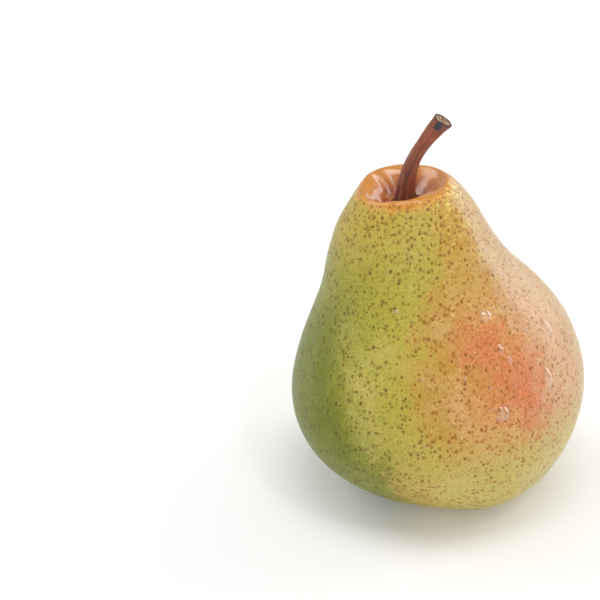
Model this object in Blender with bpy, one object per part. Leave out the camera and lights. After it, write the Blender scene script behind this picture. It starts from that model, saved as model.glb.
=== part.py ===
"""A pear that stands on its calyx end: the fruit, its woody stem, and the dried flower at the base.

Metres, +Z up. The table is at z = 0 and the origin lies under the middle of the belly.
The fruit leans towards -X, so its sections sit on a bent axis that starts at the foot and ends at
the mouth of the stem cavity. The foot is a flat ring round the calyx basin.
"""

import math

import bmesh
import bpy
from mathutils import Matrix, Vector

# The fruit, from the table upwards.
FOOT_DIAMETER = 0.0240  # outer edge of the flat ring that it stands on
BASIN_DIAMETER = 0.0170  # inner edge of that ring, the mouth of the calyx basin
BASIN_DEPTH = 0.0056
BELLY_DIAMETER = 0.0700  # the widest section
BELLY_HEIGHT = 0.0273  # of that section above the table
SHOULDER_LENGTH = 0.0358  # from the belly up to the neck
NECK_DIAMETER = 0.0392
CROWN_LENGTH = 0.0164  # from the neck up to the rim of the stem cavity
MOUTH_DIAMETER = 0.0196  # crest of that rim
LIP_RISE = 0.0009  # how much higher the rim stands on the sides below
LIP_SIDES = (math.radians(-90), math.radians(140))  # the front, and the back left
CAVITY_DEPTH = 0.0044  # from the crest down to where the stem enters the flesh
SOCKET_DEPTH = 0.0045  # of the hole that holds the stem's root

# The bent axis: how far the sections stand from the belly's middle, along X, and their final tilt.
FOOT_SHIFT = 0.0050
SHOULDER_SHIFT = -0.0026
NECK_SHIFT = -0.0072
MOUTH_SHIFT = -0.0090
SHOULDER_LEVEL = 0.49  # where SHOULDER_SHIFT holds, as a share of the shoulder
CROWN_TILT = math.radians(8.0)

# How the fruit differs from a turned one. A wave is (count round the fruit, share of the radius,
# turn), and a lobe is (share of the radius, side, height, how far up and down it reaches).
WAVES = ((2, 0.010, -0.6), (3, 0.006, 1.1))
CAVITY_FOLDS = ((3, 0.13, -0.5), (5, 0.05, 1.0))
FOOT_RIBS = 0.020  # share of the radius, one rib for each sepal
FOOT_RIB_HEIGHT = 0.0070  # by which a rib has mostly faded
LIP_REACH = 0.0035  # how far from the rim its rise is felt
LOBES = (
    (0.024, math.radians(-11), BELLY_HEIGHT + 0.56 * SHOULDER_LENGTH, 0.0080),
    (0.040, math.radians(-40), 0.17 * BELLY_HEIGHT, 0.0065),
    (0.055, math.radians(195), 0.38 * BELLY_HEIGHT, 0.0080),
)

# The stem.
STEM_LENGTH = 0.0228  # along its middle line, from the cavity's floor to the cut end
STEM_ROOT_DIAMETER = 0.0058
STEM_DIAMETER = 0.0031  # at its thinnest
STEM_TIP_DIAMETER = 0.0044
STEM_LEAN = math.radians(12.0)  # from the crown's axis, just above the cavity's floor
STEM_BEND = math.radians(44.0)  # the same at the cut end

# The dried flower in the calyx basin.
SEPAL_COUNT = 5
SEPAL_LENGTH = 0.0044
SEPAL_WIDTH = 0.0028
SEPAL_THICKNESS = 0.0005
SEPAL_RING_DIAMETER = 0.0062  # the circle on which the sepals are rooted
SEPAL_RISE = math.radians(76.0)  # from level, where a sepal leaves the floor
SEPAL_CURL = math.radians(-50.0)  # turned by the time it reaches its tip
TUFT_DIAMETER = 0.0034  # the dried stamens and styles
TUFT_LENGTH = 0.0026

CLEARANCE = 0.0003  # between pieces that grow together
SEGMENTS = 56  # round the fruit
ROWS_PER_SPAN = 3  # of the outline between two of its points

FOOT_RADIUS = FOOT_DIAMETER / 2
BASIN_RADIUS = BASIN_DIAMETER / 2
BELLY_RADIUS = BELLY_DIAMETER / 2
NECK_RADIUS = NECK_DIAMETER / 2
MOUTH_RADIUS = MOUTH_DIAMETER / 2
SOCKET_RADIUS = STEM_ROOT_DIAMETER / 2 + CLEARANCE
NECK_HEIGHT = BELLY_HEIGHT + SHOULDER_LENGTH
MOUTH_HEIGHT = NECK_HEIGHT + CROWN_LENGTH

# Shares of the way from one named section to the next: (radius, height).
LOWER_BELLY = ((0.157, 0.028), (0.427, 0.155), (0.687, 0.380), (0.923, 0.690))
SHOULDER = ((0.136, 0.263), (0.429, 0.525), (0.779, 0.777))
CROWN = ((0.290, 0.420), (0.560, 0.700), (0.800, 0.900))
CAVITY = ((0.28, 0.11), (0.56, 0.46), (0.80, 0.83))
BASIN = ((0.13, 0.20), (0.33, 0.62), (0.56, 0.90), (0.80, 0.99))


def mix(start, end, share):
    return start + (end - start) * share


def eased(share):
    """A smooth step from 0 to 1."""
    share = min(max(share, 0.0), 1.0)
    return share * share * (3 - 2 * share)


def between(start, end, shares):
    """Points between two (radius, height) sections."""
    return [(mix(start[0], end[0], a), mix(start[1], end[1], b)) for a, b in shares]


def through(points, rows):
    """A smooth line through the points, with that many steps in each span (Catmull-Rom)."""
    points = [Vector(p) for p in points]
    ends = [2 * points[0] - points[1], *points, 2 * points[-1] - points[-2]]
    line = []
    for a, b, c, d in zip(ends, ends[1:], ends[2:], ends[3:]):
        for step in range(rows):
            t = step / rows
            line.append(
                0.5 * (2 * b + (c - a) * t + (2 * a - 5 * b + 4 * c - d) * t**2)
                + 0.5 * (3 * b - a - 3 * c + d) * t**3
            )
    return [*line, points[-1]]


def basin_line():
    """The calyx basin's half section as (radius, height), from its edge to its middle."""
    edge = (BASIN_RADIUS, 0)
    middle = (0, BASIN_DEPTH)
    return through([edge, *between(edge, middle, BASIN), middle], ROWS_PER_SPAN)


def basin_height(radius):
    """The height of the basin's wall or floor at this radius."""
    line = basin_line()
    for outer, inner in zip(line, line[1:]):
        if inner.x <= radius <= outer.x:
            return mix(inner.y, outer.y, (radius - inner.x) / (outer.x - inner.x))
    return BASIN_DEPTH


def outline():
    """The fruit's half section as (radius, height), from the basin's middle to the socket's floor."""
    foot, belly = (FOOT_RADIUS, 0), (BELLY_RADIUS, BELLY_HEIGHT)
    neck, mouth = (NECK_RADIUS, NECK_HEIGHT), (MOUTH_RADIUS, MOUTH_HEIGHT)
    lip = (SOCKET_RADIUS, MOUTH_HEIGHT - CAVITY_DEPTH)
    side = [foot, *between(foot, belly, LOWER_BELLY), belly, *between(belly, neck, SHOULDER), neck]
    side += [*between(neck, mouth, CROWN), mouth, *between(mouth, lip, CAVITY), lip]
    floor = lip[1] - SOCKET_DEPTH
    socket = [Vector((SOCKET_RADIUS, floor)), Vector((0, floor))]
    return [*reversed(basin_line()), *through(side, ROWS_PER_SPAN), *socket]


def axis_shift(height):
    """How far the bent axis stands from the belly's middle at this height."""
    stations = (
        (0.0, FOOT_SHIFT),
        (BELLY_HEIGHT, 0.0),
        (BELLY_HEIGHT + SHOULDER_LEVEL * SHOULDER_LENGTH, SHOULDER_SHIFT),
        (NECK_HEIGHT, NECK_SHIFT),
        (MOUTH_HEIGHT, MOUTH_SHIFT),
    )
    line = through(stations, 12)
    for low, high in zip(line, line[1:]):
        if low.x <= height <= high.x:
            return mix(low.y, high.y, (height - low.x) / (high.x - low.x))
    return FOOT_SHIFT if height < 0 else MOUTH_SHIFT


def crown_frame():
    """The rigid frame of the cavity and the stem: at the mouth's middle, its Z along the stem's root."""
    place = Matrix.Translation((MOUTH_SHIFT, 0, MOUTH_HEIGHT))
    return place @ Matrix.Rotation(-CROWN_TILT, 4, "Y")


def ripple(waves, angle):
    return sum(share * math.cos(count * angle + turn) for count, share, turn in waves)


def swelling(radius, height, angle, inside_crown, inside_foot):
    """How much wider or narrower the fruit is here than a turned one, as a factor."""
    body = ripple(WAVES, angle)
    ribs = FOOT_RIBS * math.cos(SEPAL_COUNT * angle) * math.exp(-height / FOOT_RIB_HEIGHT)
    if inside_crown:
        share = (radius - SOCKET_RADIUS) / (MOUTH_RADIUS - SOCKET_RADIUS)
        share = min(max(share, 0.0), 1.0)
        folds = ripple(CAVITY_FOLDS, angle) * math.sin(math.pi * share)
        return 1 + (body + folds) * share
    if inside_foot:
        return 1 + (body + ribs) * min(radius / BASIN_RADIUS, 1.0)
    lobes = 0.0
    for share, side, middle, reach in LOBES:
        away = (height - middle) / reach
        lobes += share * math.exp(-(away**2)) * max(0.0, math.cos(angle - side)) ** 2
    return 1 + body + ribs + lobes


def lip_rise(radius, height, angle):
    """How much the skin is raised here, near the parts of the cavity's rim that stand higher."""
    away = math.hypot(radius - MOUTH_RADIUS, height - MOUTH_HEIGHT) / LIP_REACH
    facing = sum(max(0.0, math.cos(angle - side)) ** 3 for side in LIP_SIDES)
    return LIP_RISE * math.exp(-(away**2)) * facing


def placed(point):
    """Where a point of the turned shape goes on the leaning, slightly uneven fruit."""
    radius, angle = math.hypot(point.x, point.y), math.atan2(point.y, point.x)
    height = point.z
    inside_crown = height > NECK_HEIGHT and radius <= MOUTH_RADIUS + 1e-6
    inside_foot = height < BELLY_HEIGHT and radius <= FOOT_RADIUS + 1e-6
    radius *= swelling(radius, height, angle, inside_crown, inside_foot)
    flat = Vector((radius * math.cos(angle), radius * math.sin(angle), 0))
    if inside_crown:
        height += lip_rise(radius, height, angle) - MOUTH_HEIGHT
        return crown_frame() @ (flat + Vector((0, 0, height)))
    if inside_foot:
        return flat + Vector((FOOT_SHIFT, 0, height))
    tilt = CROWN_TILT * eased(height / BELLY_HEIGHT)
    section = Matrix.Translation((axis_shift(height), 0, height)) @ Matrix.Rotation(-tilt, 4, "Y")
    return section @ flat + Vector((0, 0, lip_rise(radius, height, angle)))


def finish(shape, name, colour, roughness):
    """Links a named object for a mesh or a curve, with a material of its own."""
    material = bpy.data.materials.new(name)
    material.use_nodes = True
    shader = material.node_tree.nodes["Principled BSDF"]
    shader.inputs["Base Color"].default_value = (*colour, 1)
    shader.inputs["Roughness"].default_value = roughness
    shape.materials.append(material)
    made = bpy.data.objects.new(name, shape)
    bpy.context.scene.collection.objects.link(made)
    return made


def make_fruit():
    form = bmesh.new()
    points = [form.verts.new((p.x, 0, p.y)) for p in outline()]
    edges = [form.edges.new(pair) for pair in zip(points, points[1:])]
    turn = dict(axis=(0, 0, 1), cent=(0, 0, 0), angle=math.tau, steps=SEGMENTS, use_merge=True)
    bmesh.ops.spin(form, geom=points + edges, **turn)
    bmesh.ops.remove_doubles(form, verts=form.verts, dist=1e-6)
    for vert in form.verts:
        vert.co = placed(vert.co)
    bmesh.ops.recalc_face_normals(form, faces=form.faces)
    mesh = bpy.data.meshes.new("fruit")
    form.to_mesh(mesh)
    form.free()
    mesh.shade_smooth()
    return finish(mesh, "fruit", (0.42, 0.40, 0.09), 0.38)


def stem_line(steps):
    """(place, radius) along the stem, in the crown's frame: straight in its socket, then bent to +X."""
    root = -CAVITY_DEPTH - SOCKET_DEPTH + CLEARANCE
    line = [(Vector((0, 0, root)), STEM_ROOT_DIAMETER / 2)]
    place, step = Vector((0, 0, -CAVITY_DEPTH)), STEM_LENGTH / steps
    for count in range(steps + 1):
        share = count / steps
        foot = mix(STEM_ROOT_DIAMETER, STEM_DIAMETER, min(share / 0.5, 1.0) ** 0.55)
        tip = (STEM_TIP_DIAMETER - STEM_DIAMETER) * max((share - 0.6) / 0.4, 0.0) ** 1.6
        line.append((place.copy(), (foot + tip) / 2))
        bend = mix(STEM_LEAN * min(share / 0.1, 1.0), STEM_BEND, eased((share - 0.02) / 0.80))
        place += step * Vector((math.sin(bend), 0, math.cos(bend)))
    return line


def make_stem():
    line = stem_line(18)
    curve = bpy.data.curves.new("stem", "CURVE")
    curve.dimensions = "3D"
    curve.bevel_depth = 1.0  # each point's radius below is then in metres
    curve.bevel_resolution = 4
    curve.use_fill_caps = True
    spline = curve.splines.new("POLY")
    spline.points.add(len(line) - 1)
    for point, (place, radius) in zip(spline.points, line):
        point.co = (*place, 1)
        point.radius = radius
    made = finish(curve, "stem", (0.16, 0.055, 0.025), 0.55)
    made.matrix_world = crown_frame()
    return made


def make_sepal(number):
    """A dried leaf of the calyx, which rises from the basin's floor and curls outwards at its tip."""
    form = bmesh.new()
    bmesh.ops.create_grid(form, x_segments=6, y_segments=2, size=0.5)
    for vert in form.verts:
        along, across = vert.co.x + 0.5, vert.co.y * 2
        turn = SEPAL_RISE + SEPAL_CURL * along / 2
        reach = SEPAL_LENGTH * along
        half = SEPAL_WIDTH / 2 * math.sqrt(max(1 - along, 0.05))
        cupped = 0.12 * SEPAL_WIDTH * across**2
        vert.co.x = SEPAL_RING_DIAMETER / 2 + reach * math.cos(turn) - cupped * math.sin(turn)
        vert.co.y = half * across
        vert.co.z = -reach * math.sin(turn) - cupped * math.cos(turn)
    mesh = bpy.data.meshes.new(f"sepal_{number}")
    form.to_mesh(mesh)
    form.free()
    mesh.shade_smooth()
    made = finish(mesh, f"sepal_{number}", (0.10, 0.055, 0.03), 0.9)
    wall = made.modifiers.new("thickness", "SOLIDIFY")
    wall.thickness = SEPAL_THICKNESS
    wall.offset = 0
    corner = math.hypot((SEPAL_RING_DIAMETER + SEPAL_THICKNESS) / 2, SEPAL_WIDTH / 2)
    made.location = (FOOT_SHIFT, 0, basin_height(corner) - CLEARANCE)
    made.rotation_euler.z = number * math.tau / SEPAL_COUNT
    return made


def make_tuft():
    """The dried stamens and styles, as one rough cone under the middle of the basin."""
    form = bmesh.new()
    size = dict(radius1=TUFT_DIAMETER * 0.32, radius2=TUFT_DIAMETER / 2, depth=TUFT_LENGTH)
    bmesh.ops.create_cone(form, cap_ends=True, segments=12, **size)
    mesh = bpy.data.meshes.new("stamen_tuft")
    form.to_mesh(mesh)
    form.free()
    made = finish(mesh, "stamen_tuft", (0.07, 0.04, 0.02), 0.95)
    made.location = (FOOT_SHIFT, 0, basin_height(TUFT_DIAMETER / 2) - CLEARANCE - TUFT_LENGTH / 2)
    return made


def main():
    for old in list(bpy.data.objects):
        bpy.data.objects.remove(old)
    make_fruit()
    make_stem()
    for number in range(1, SEPAL_COUNT + 1):
        make_sepal(number)
    make_tuft()


main()
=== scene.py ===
"""A fresh pear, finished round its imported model.

It has a speckled waxy skin with a blush on its sunny side, a glossy russet stem cavity, a woody stem
that was cut off, the dried flower in its base, and a few drops of water. Metres, +Z up.
"""

import math
import random

import bmesh
import bpy
from bpy.props import FloatProperty, FloatVectorProperty, IntProperty
from mathutils import Matrix, Vector, noise
from mathutils.bvhtree import BVHTree


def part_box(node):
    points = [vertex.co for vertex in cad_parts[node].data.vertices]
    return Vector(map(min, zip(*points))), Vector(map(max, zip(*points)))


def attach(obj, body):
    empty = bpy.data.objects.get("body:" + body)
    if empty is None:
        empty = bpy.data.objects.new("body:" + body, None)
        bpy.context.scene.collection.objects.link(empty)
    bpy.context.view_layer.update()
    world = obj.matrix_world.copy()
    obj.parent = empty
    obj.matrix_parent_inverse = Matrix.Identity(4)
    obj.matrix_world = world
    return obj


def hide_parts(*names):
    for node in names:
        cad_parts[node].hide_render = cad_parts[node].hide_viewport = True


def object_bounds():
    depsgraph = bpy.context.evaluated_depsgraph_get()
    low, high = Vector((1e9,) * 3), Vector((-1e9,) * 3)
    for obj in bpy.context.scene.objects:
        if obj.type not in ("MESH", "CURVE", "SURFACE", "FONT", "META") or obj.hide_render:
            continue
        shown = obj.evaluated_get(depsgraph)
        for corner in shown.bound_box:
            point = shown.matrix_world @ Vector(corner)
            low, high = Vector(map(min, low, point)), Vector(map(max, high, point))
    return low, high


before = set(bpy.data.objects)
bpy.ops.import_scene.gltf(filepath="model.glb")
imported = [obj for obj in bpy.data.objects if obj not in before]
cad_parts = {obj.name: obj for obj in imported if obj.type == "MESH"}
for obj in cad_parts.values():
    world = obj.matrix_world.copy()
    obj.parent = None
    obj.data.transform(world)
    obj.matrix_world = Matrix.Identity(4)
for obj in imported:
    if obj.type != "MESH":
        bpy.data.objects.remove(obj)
CAD_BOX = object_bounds()

bl_info = {
    "name": "Fresh Pear",
    "version": (1, 0, 0),
    "blender": (4, 5, 0),
    "location": "3D View > Sidebar > Pear",
    "description": "Makes the skin, stem, calyx and dew of a pear round its packed model",
    "category": "Add Mesh",
}

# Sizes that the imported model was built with, in metres.
CAVITY_DEPTH = 0.0044  # from the rim's crest down to where the stem enters the flesh
CAVITY_RADIUS = 0.0098  # of the rim's crest
SOCKET_DEPTH = 0.0042  # how deep the stem's root goes into the flesh
BASIN_RADIUS = 0.0085  # inner edge of the ring that the fruit stands on
BASIN_DEPTH = 0.0056
STEM_LENGTH = 0.0228
STEM_ROOT_RADIUS = 0.0029
STEM_RADIUS = 0.00155
STEM_TIP_RADIUS = 0.0022
STEM_LEAN = math.radians(12.0)
STEM_BEND = math.radians(44.0)
STEM_SIDES = 12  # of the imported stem
# Folds of the stem cavity's wall: side, how far round it reaches, and height (a hollow is negative).
CAVITY_FOLDS = (
    (math.radians(152), math.radians(16), 0.00055),
    (math.radians(-145), math.radians(28), -0.00075),
    (math.radians(45), math.radians(45), -0.00035),
)
WET_SIDE = math.radians(-18)  # the glossiest side of the skin
# Painted shade: the skin is painted its deepest green towards this side.
PAINTED_SHADE_SIDE = math.radians(-160)  # the darkest green one
# The reddest patches of the blush: side, distance from the middle, height and reach.
BLUSHES = (
    (math.radians(-69), 0.0275, 0.0510, 0.0095),
    (math.radians(-57), 0.0320, 0.0435, 0.0115),
    (math.radians(-52), 0.0345, 0.0360, 0.0085),
)
SEPALS = ("sepal_1", "sepal_2", "sepal_3", "sepal_4", "sepal_5")
SEPAL_RING_RADIUS = 0.0031
SEPAL_RISE = math.radians(76.0)
SEPAL_CURL = math.radians(-50.0)
MERGE_DISTANCE = 1e-6


# ------------------------------------------------------------------------------ small tools


def paint(red, green, blue):
    """A colour given as the eye sees it, 0 to 255, as the linear values that shaders take."""
    shares = (value / 255 for value in (red, green, blue))
    return tuple(s / 12.92 if s <= 0.04045 else ((s + 0.055) / 1.055) ** 2.4 for s in shares)


def colour_setting(name, description, *shade):
    """A colour that a user can change, given as paint takes it."""
    return FloatVectorProperty(name=name, description=description, subtype="COLOR", default=paint(*shade))


def length_setting(name, description, default, least=0.0):
    """A length that a user can change."""
    return FloatProperty(name=name, description=description, default=default, min=least, unit="LENGTH")


def angle_setting(name, description, degrees):
    """An angle that a user can change."""
    default = math.radians(degrees)
    return FloatProperty(name=name, description=description, default=default, subtype="ANGLE")


def count_setting(name, description, default, least):
    """A whole number that a user can change."""
    return IntProperty(name=name, description=description, default=default, min=least)


def mix(start, end, share):
    return start + (end - start) * share


def eased(value, low=0.0, high=1.0):
    """A smooth step from 0 at low to 1 at high."""
    share = min(max((value - low) / (high - low), 0.0), 1.0)
    return share * share * (3 - 2 * share)


def middle(points):
    points = list(points)
    return sum(points, Vector()) / len(points)


def merged_copy(node):
    """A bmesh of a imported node, with its loose triangles joined."""
    form = bmesh.new()
    form.from_mesh(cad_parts[node].data)
    bmesh.ops.remove_doubles(form, verts=form.verts, dist=MERGE_DISTANCE)
    return form


def linked(form, name, materials):
    """Turns a bmesh into a smooth object in the scene, at the origin."""
    mesh = bpy.data.meshes.new(name)
    form.to_mesh(mesh)
    form.free()
    for material in materials:
        mesh.materials.append(material)
    mesh.shade_smooth()
    made = bpy.data.objects.new(name, mesh)
    bpy.context.scene.collection.objects.link(made)
    return made


def subdivided(piece, levels):
    """Adds a live Subdivision Surface."""
    surface = piece.modifiers.new("surface", "SUBSURF")
    surface.levels = levels
    surface.render_levels = levels
    return piece


def applied(piece):
    """Applies the modifiers of a piece to its mesh."""
    graph = bpy.context.evaluated_depsgraph_get()
    mesh = bpy.data.meshes.new_from_object(piece.evaluated_get(graph), depsgraph=graph)
    old = piece.data
    piece.modifiers.clear()
    piece.data = mesh
    mesh.name = old.name
    bpy.data.meshes.remove(old)


def write_floats(mesh, name, values):
    layer = mesh.attributes.new(name, "FLOAT", "POINT")
    layer.data.foreach_set("value", list(values))


def finish_piece(piece, node):
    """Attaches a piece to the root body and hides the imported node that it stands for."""
    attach(piece, "root")
    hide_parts(node)


# ------------------------------------------------------------------------------ where things are


def crown():
    """The frame of the stem cavity: at the middle of its mouth, its Z along the stem's root."""
    form = merged_copy("stem")
    points = sorted((vert.co.copy() for vert in form.verts), key=lambda point: point.z)
    form.free()
    root = middle(points[:STEM_SIDES])
    entry = middle(points[STEM_SIDES : 2 * STEM_SIDES])
    axis = (entry - root).normalized()
    turn = Vector((0, 0, 1)).rotation_difference(axis).to_matrix().to_4x4()
    return Matrix.Translation(entry + axis * CAVITY_DEPTH) @ turn


def basin_middle():
    """The middle of the calyx basin, on the table."""
    low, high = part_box("stamen_tuft")
    return Vector(((low.x + high.x) / 2, (low.y + high.y) / 2, 0))


def above_basin(out, side, height):
    """The point at this height that lies this far from the basin's middle, towards this side."""
    return basin_middle() + Vector((out * math.cos(side), out * math.sin(side), height))


# ------------------------------------------------------------------------------ shader building


def fill(tree, node, inputs):
    """Gives a shader node its inputs. Each is a plain value or another node's output."""
    for key, value in inputs.items():
        if isinstance(value, bpy.types.NodeSocket):
            tree.links.new(value, node.inputs[key])
        else:
            node.inputs[key].default_value = value
    return node


def add(tree, kind, inputs=None, **settings):
    """A shader node of this kind, with these settings and inputs."""
    node = tree.nodes.new("ShaderNode" + kind)
    for name, value in settings.items():
        setattr(node, name, value)
    return fill(tree, node, inputs or {})


def math_of(tree, operation, first, second=0.0, third=0.0):
    inputs = {0: first, 1: second, 2: third}
    return add(tree, "Math", inputs, operation=operation).outputs[0]


def vector_of(tree, operation, first, second=(0, 0, 0)):
    made = add(tree, "VectorMath", {0: first, 1: second}, operation=operation)
    return made.outputs["Value" if operation in ("DOT_PRODUCT", "LENGTH") else "Vector"]


def product(tree, *factors):
    """Multiplies values together."""
    result = factors[0]
    for factor in factors[1:]:
        result = math_of(tree, "MULTIPLY", result, factor)
    return result


def scaled(tree, value, by, plus):
    """A value times a number, plus another value."""
    return math_of(tree, "MULTIPLY_ADD", value, by, plus)


def nudged(tree, value, pattern, reach):
    """A value moved up and down by a pattern that varies round 0.5."""
    return scaled(tree, math_of(tree, "SUBTRACT", pattern, 0.5), reach, value)


def ranged(tree, value, low, high, start=0.0, end=1.0):
    """A smooth step of a value from start at low to end at high."""
    inputs = {"Value": value, 1: low, 2: high, 3: start, 4: end}
    made = add(tree, "MapRange", inputs, interpolation_type="SMOOTHSTEP")
    return made.outputs[0]


def blended(tree, share, first, second):
    """Mixes two colours. A plain colour has three numbers."""
    first, second = (c if isinstance(c, bpy.types.NodeSocket) else (*c[:3], 1) for c in (first, second))
    return add(tree, "Mix", {0: share, 6: first, 7: second}, data_type="RGBA").outputs[2]


def layered(tree, colour, *coats):
    """Lays coats over a colour, in order. Each coat is its share, 0 to 1, and its colour."""
    for share, coat in coats:
        colour = blended(tree, share, colour, coat)
    return colour


def noise_of(tree, place, scale, detail=2.0, roughness=0.5, distortion=0.0):
    inputs = {"Vector": place, "Scale": scale, "Detail": detail}
    inputs.update({"Roughness": roughness, "Distortion": distortion})
    return add(tree, "TexNoise", inputs)


def attribute_of(tree, name, kind="Fac"):
    return add(tree, "Attribute", attribute_name=name).outputs[kind]


def new_group(name, inputs, outputs):
    """An empty node group, as its tree, its input node and its output node.

    Its inputs are given as (name, default) and its outputs as names.
    """
    tree = bpy.data.node_groups.new(name, "ShaderNodeTree")
    for label, value in inputs:
        kind = "NodeSocketVector" if isinstance(value, tuple) else "NodeSocketFloat"
        socket = tree.interface.new_socket(label, in_out="INPUT", socket_type=kind)
        socket.default_value = value
    for label in outputs:
        tree.interface.new_socket(label, in_out="OUTPUT", socket_type="NodeSocketFloat")
    return tree, tree.nodes.new("NodeGroupInput"), tree.nodes.new("NodeGroupOutput")


def pattern(tree, group, place, **inputs):
    """The outputs of a node that holds a group, with these inputs."""
    node = tree.nodes.new("ShaderNodeGroup")
    node.node_tree = group
    return fill(tree, node, {"Place": place, **inputs}).outputs.values()


def stretched(tree, place, across, along):
    """A place, with its X and Y multiplied by one value and its Z by another."""
    scales = add(tree, "CombineXYZ", {0: across, 1: across, 2: along}).outputs[0]
    return vector_of(tree, "MULTIPLY", place, scales)


def flecks_group():
    """Scattered flecks of uneven size: Mask is 1 on a fleck, and Shade is a random number of its own."""
    if "Flecks" in bpy.data.node_groups:
        return bpy.data.node_groups["Flecks"]
    inputs = (("Place", (0.0, 0.0, 0.0)), ("Spacing", 0.002), ("Stretch", 1.0), ("Size", 0.3))
    inputs += (("Share", 1.0), ("Softness", 0.5), ("Wobble", 0.3))
    tree, given, result = new_group("Flecks", inputs, ("Mask", "Shade"))
    count = math_of(tree, "DIVIDE", 1.0, given.outputs["Spacing"])
    long = math_of(tree, "DIVIDE", count, given.outputs["Stretch"])
    place = stretched(tree, given.outputs["Place"], count, long)
    drift = vector_of(tree, "SUBTRACT", noise_of(tree, place, 1.7).outputs["Color"], (0.5, 0.5, 0.5))
    drift = add(tree, "VectorMath", {0: drift, "Scale": given.outputs["Wobble"]}, operation="SCALE")
    place = vector_of(tree, "ADD", place, drift.outputs[0])
    cells = add(tree, "TexVoronoi", {"Vector": place, "Scale": 1.0})
    own = add(tree, "SeparateColor", {0: cells.outputs["Color"]})
    reach = product(tree, scaled(tree, own.outputs[0], 0.9, 0.45), given.outputs["Size"])
    sharp = math_of(tree, "SUBTRACT", 1.0, given.outputs["Softness"])
    mask = ranged(tree, cells.outputs["Distance"], reach, product(tree, reach, sharp))
    there = math_of(tree, "LESS_THAN", own.outputs[1], given.outputs["Share"])
    tree.links.new(product(tree, mask, there), result.inputs["Mask"])
    tree.links.new(own.outputs[2], result.inputs["Shade"])
    return tree


def mottle_group():
    """Cloudy variation at two scales, and fine grain, each round 0.5."""
    if "Mottle" in bpy.data.node_groups:
        return bpy.data.node_groups["Mottle"]
    inputs = (("Place", (0.0, 0.0, 0.0)), ("Patch", 0.012), ("Grain", 0.0005), ("Stretch", 1.0))
    tree, given, result = new_group("Mottle", inputs, ("Clouds", "Blotches", "Grain"))
    shrink = math_of(tree, "DIVIDE", 1.0, given.outputs["Stretch"])
    place = stretched(tree, given.outputs["Place"], 1.0, shrink)
    broad = math_of(tree, "DIVIDE", 1.0, given.outputs["Patch"])
    clouds = noise_of(tree, place, broad, 3.0, 0.55, 0.3)
    blotches = noise_of(tree, place, product(tree, broad, 4.3), 3.0, 0.6)
    grain = noise_of(tree, place, math_of(tree, "DIVIDE", 1.0, given.outputs["Grain"]), 2.0, 0.6)
    for source, label in ((clouds, "Clouds"), (blotches, "Blotches"), (grain, "Grain")):
        tree.links.new(source.outputs["Fac"], result.inputs[label])
    return tree


def fibres_group():
    """Fibres along the Z of Place: Fibre is a fine streak, Cord a coarse one."""
    if "Fibres" in bpy.data.node_groups:
        return bpy.data.node_groups["Fibres"]
    inputs = (("Place", (0.0, 0.0, 0.0)), ("Width", 0.0003), ("Length", 0.004))
    tree, given, result = new_group("Fibres", inputs, ("Fibre", "Cord"))
    for label, wide, detail in (("Fibre", 1.0, 3.0), ("Cord", 3.2, 2.0)):
        across = math_of(tree, "DIVIDE", 1.0 / wide, given.outputs["Width"])
        along = math_of(tree, "DIVIDE", 1.0 / wide, given.outputs["Length"])
        place = stretched(tree, given.outputs["Place"], across, along)
        streaks = noise_of(tree, place, 1.0, detail, 0.6, 0.2)
        tree.links.new(streaks.outputs["Fac"], result.inputs[label])
    return tree


def new_material(name):
    """A material with a Principled shader: returns it, its tree and the shader."""
    material = bpy.data.materials.new(name)
    material.use_nodes = True
    return material, material.node_tree, material.node_tree.nodes["Principled BSDF"]


def object_place(tree):
    return add(tree, "TexCoord").outputs["Object"]


def set_bump(tree, shader, height, distance, strength=1.0):
    """Feeds a height, 0 to 1, to the shader as bump that is that many metres deep."""
    inputs = {"Height": height, "Distance": distance, "Strength": strength}
    tree.links.new(add(tree, "Bump", inputs).outputs[0], shader.inputs["Normal"])


# ------------------------------------------------------------------------------ the fruit


class PearSkin(bpy.types.PropertyGroup):
    green: colour_setting("Ground Colour", "Skin away from the sun", 183, 173, 66)
    # Painted shade: a deeper green painted on the side away from the sun and near the base.
    painted_shade_green: colour_setting("Shade Colour", "Deeper green on the side in the shade", 108, 120, 6)
    gold: colour_setting("Tan Colour", "Skin that turns towards the blush", 196, 143, 58)
    peach: colour_setting("Blush Colour", "Pale outer part of the blush", 218, 146, 88)
    rose: colour_setting("Blush Heart", "Reddest part of the blush", 216, 112, 80)
    straw: colour_setting("Base Colour", "Pale yellow green round the base of the fruit", 195, 182, 88)
    russet: colour_setting("Russet", "Corky orange brown in the stem cavity", 198, 112, 26)
    speck: colour_setting("Speck Colour", "Breathing pores on the green skin", 130, 96, 24)
    warm_speck: colour_setting("Warm Speck Colour", "Breathing pores on the tan skin", 170, 90, 18)
    speck_spacing: length_setting("Speck Spacing", "From one larger pore to the next", 0.00094, 0.0005)
    sun_side: angle_setting("Sun Side", "Which way the blush faces, from +X round to +Y", -45.0)
    swell: length_setting("Swell", "Height of the slow unevenness of the skin", 0.00035)


# Colours that are laid over the ground colour, thinly or in small marks, some of them painted light or
# shade.
WAXY_BLOOM_AND_SHEEN = paint(206, 194, 128)
PAINTED_EDGE_SHEEN = paint(198, 172, 156)
LIP_CORK = paint(202, 130, 36)
DEEP_CORK_AND_SHADE = paint(152, 62, 12)
PATCHY_CORK = paint(214, 140, 46)
EDGE_CORK = paint(224, 158, 72)
NECK_TINT = paint(198, 162, 72)
FOOT_CORK = paint(150, 104, 48)
BLUSH_SPECK = paint(184, 112, 36)
DARK_SPECK = paint(104, 62, 20)
SHADE_SPECK = paint(78, 66, 16)
GLINT = paint(246, 224, 172)
NECK_SPECK = paint(150, 92, 26)
NECK_STROKE = paint(238, 210, 104)
RIM_DASH = paint(240, 232, 132)
LIGHT_GRAIN = paint(244, 222, 120)
DARK_GRAIN = paint(120, 92, 20)

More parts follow.
